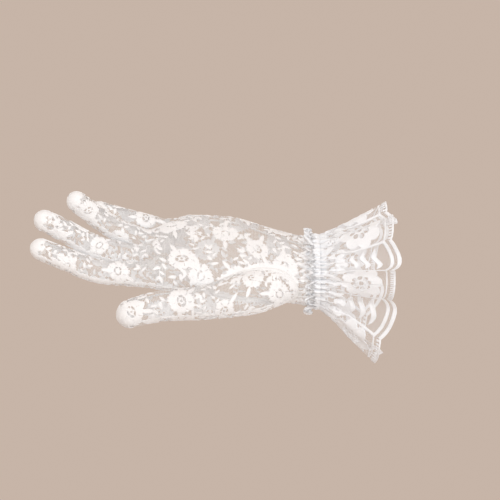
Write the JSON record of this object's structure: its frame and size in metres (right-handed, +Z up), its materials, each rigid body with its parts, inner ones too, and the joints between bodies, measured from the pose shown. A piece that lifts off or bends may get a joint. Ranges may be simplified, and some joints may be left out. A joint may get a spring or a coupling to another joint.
{
  "type": "lace bridal glove",
  "caption": "Wrist-length stretch lace glove for the left hand, with hinged finger and thumb sections, an elastic wrist and a scalloped ruffle cuff.",
  "frame": {"origin": "centre of the wrist opening, at the gathered elastic", "axes": "-X towards the fingertips, +X along the arm, +Z up; the palm faces -Y turned 45 degrees upwards, with the thumb lowest"},
  "size_m": [0.2531, 0.1111, 0.1186],
  "materials": {
    "white_lace": "matt white floral stretch lace on fine net",
    "ruffle_lace": "matt white galloon lace with raised outlines and a scalloped edge",
    "seam_thread": "white overlocked sewing thread",
    "covered_elastic": "white braided elastic"
  },
  "bodies": {
    "hand": {"palm_panel": "white_lace", "back_panel": "white_lace", "little_side_seam": "seam_thread", "index_side_seam": "seam_thread", "thumb_seam": "seam_thread", "thumb_front_base": "white_lace", "thumb_back_base": "white_lace", "wrist_elastic": "covered_elastic", "wrist_casing": "white_lace", "heading_frill": "ruffle_lace", "ruffle": "ruffle_lace"},
    "index_base": {"index_front_base": "white_lace", "index_back_base": "white_lace"},
    "index_middle": {"index_front_middle": "white_lace", "index_back_middle": "white_lace"},
    "index_tip": {"index_front_tip": "white_lace", "index_back_tip": "white_lace"},
    "middle_base": {"middle_front_base": "white_lace", "middle_back_base": "white_lace"},
    "middle_middle": {"middle_front_middle": "white_lace", "middle_back_middle": "white_lace"},
    "middle_tip": {"middle_front_tip": "white_lace", "middle_back_tip": "white_lace"},
    "ring_base": {"ring_front_base": "white_lace", "ring_back_base": "white_lace"},
    "ring_middle": {"ring_front_middle": "white_lace", "ring_back_middle": "white_lace"},
    "ring_tip": {"ring_front_tip": "white_lace", "ring_back_tip": "white_lace"},
    "little_base": {"little_front_base": "white_lace", "little_back_base": "white_lace"},
    "little_middle": {"little_front_middle": "white_lace", "little_back_middle": "white_lace"},
    "little_tip": {"little_front_tip": "white_lace", "little_back_tip": "white_lace"},
    "thumb_middle": {"thumb_front_middle": "white_lace", "thumb_back_middle": "white_lace"},
    "thumb_tip": {"thumb_front_tip": "white_lace", "thumb_back_tip": "white_lace"}
  },
  "joints": [
    {"name": "index_base_bend", "type": "hinge", "parent": "hand", "child": "index_base", "pos_m": [-0.112, -0.02227, -0.00318], "axis": [0, 0.7071, 0.7071], "range_deg": [-15, 60]},
    {"name": "index_middle_bend", "type": "hinge", "parent": "index_base", "child": "index_middle", "pos_m": [-0.1535, -0.02652, 0.00106], "axis": [0, 0.7071, 0.7071], "range_deg": [-16, 70]},
    {"name": "index_tip_bend", "type": "hinge", "parent": "index_middle", "child": "index_tip", "pos_m": [-0.175, -0.03359, 0.00955], "axis": [0, 0.7071, 0.7071], "range_deg": [-8, 35]},
    {"name": "middle_base_bend", "type": "hinge", "parent": "hand", "child": "middle_base", "pos_m": [-0.111, -0.00884, 0.00884], "axis": [0, 0.7071, 0.7071], "range_deg": [-15, 60]},
    {"name": "middle_middle_bend", "type": "hinge", "parent": "middle_base", "child": "middle_middle", "pos_m": [-0.1535, -0.01697, 0.01697], "axis": [0, 0.7071, 0.7071], "range_deg": [-16, 70]},
    {"name": "middle_tip_bend", "type": "hinge", "parent": "middle_middle", "child": "middle_tip", "pos_m": [-0.174, -0.02772, 0.02814], "axis": [0, 0.7071, 0.7071], "range_deg": [-8, 35]},
    {"name": "ring_base_bend", "type": "hinge", "parent": "hand", "child": "ring_base", "pos_m": [-0.106, 0.00495, 0.0198], "axis": [0, 0.7071, 0.7071], "range_deg": [-15, 60]},
    {"name": "ring_middle_bend", "type": "hinge", "parent": "ring_base", "child": "ring_middle", "pos_m": [-0.142, -0.00474, 0.03062], "axis": [0, 0.7071, 0.7071], "range_deg": [-16, 70]},
    {"name": "ring_tip_bend", "type": "hinge", "parent": "ring_middle", "child": "ring_tip", "pos_m": [-0.1585, -0.01556, 0.04243], "axis": [0, 0.7071, 0.7071], "range_deg": [-8, 35]},
    {"name": "little_base_bend", "type": "hinge", "parent": "hand", "child": "little_base", "pos_m": [-0.096, 0.01838, 0.0297], "axis": [0, 0.7071, 0.7071], "range_deg": [-15, 60]},
    {"name": "little_middle_bend", "type": "hinge", "parent": "little_base", "child": "little_middle", "pos_m": [-0.126, 0.01435, 0.03486], "axis": [0, 0.7071, 0.7071], "range_deg": [-16, 70]},
    {"name": "little_tip_bend", "type": "hinge", "parent": "little_middle", "child": "little_tip", "pos_m": [-0.143, 0.01032, 0.03974], "axis": [0, 0.7071, 0.7071], "range_deg": [-8, 35]},
    {"name": "thumb_middle_bend", "type": "hinge", "parent": "hand", "child": "thumb_middle", "pos_m": [-0.077, -0.03783, -0.02086], "axis": [0, 0.8051, 0.5932], "range_deg": [-10, 40]},
    {"name": "thumb_tip_bend", "type": "hinge", "parent": "thumb_middle", "child": "thumb_tip", "pos_m": [-0.109, -0.04066, -0.02369], "axis": [0, 0.8051, 0.5932], "range_deg": [-10, 40]}
  ],
  "couplings": [
    {"joint": "index_tip_bend", "follows": "index_middle_bend", "ratio": 0.5},
    {"joint": "middle_tip_bend", "follows": "middle_middle_bend", "ratio": 0.5},
    {"joint": "ring_tip_bend", "follows": "ring_middle_bend", "ratio": 0.5},
    {"joint": "little_tip_bend", "follows": "little_middle_bend", "ratio": 0.5},
    {"joint": "thumb_tip_bend", "follows": "thumb_middle_bend", "ratio": 1}
  ]
}
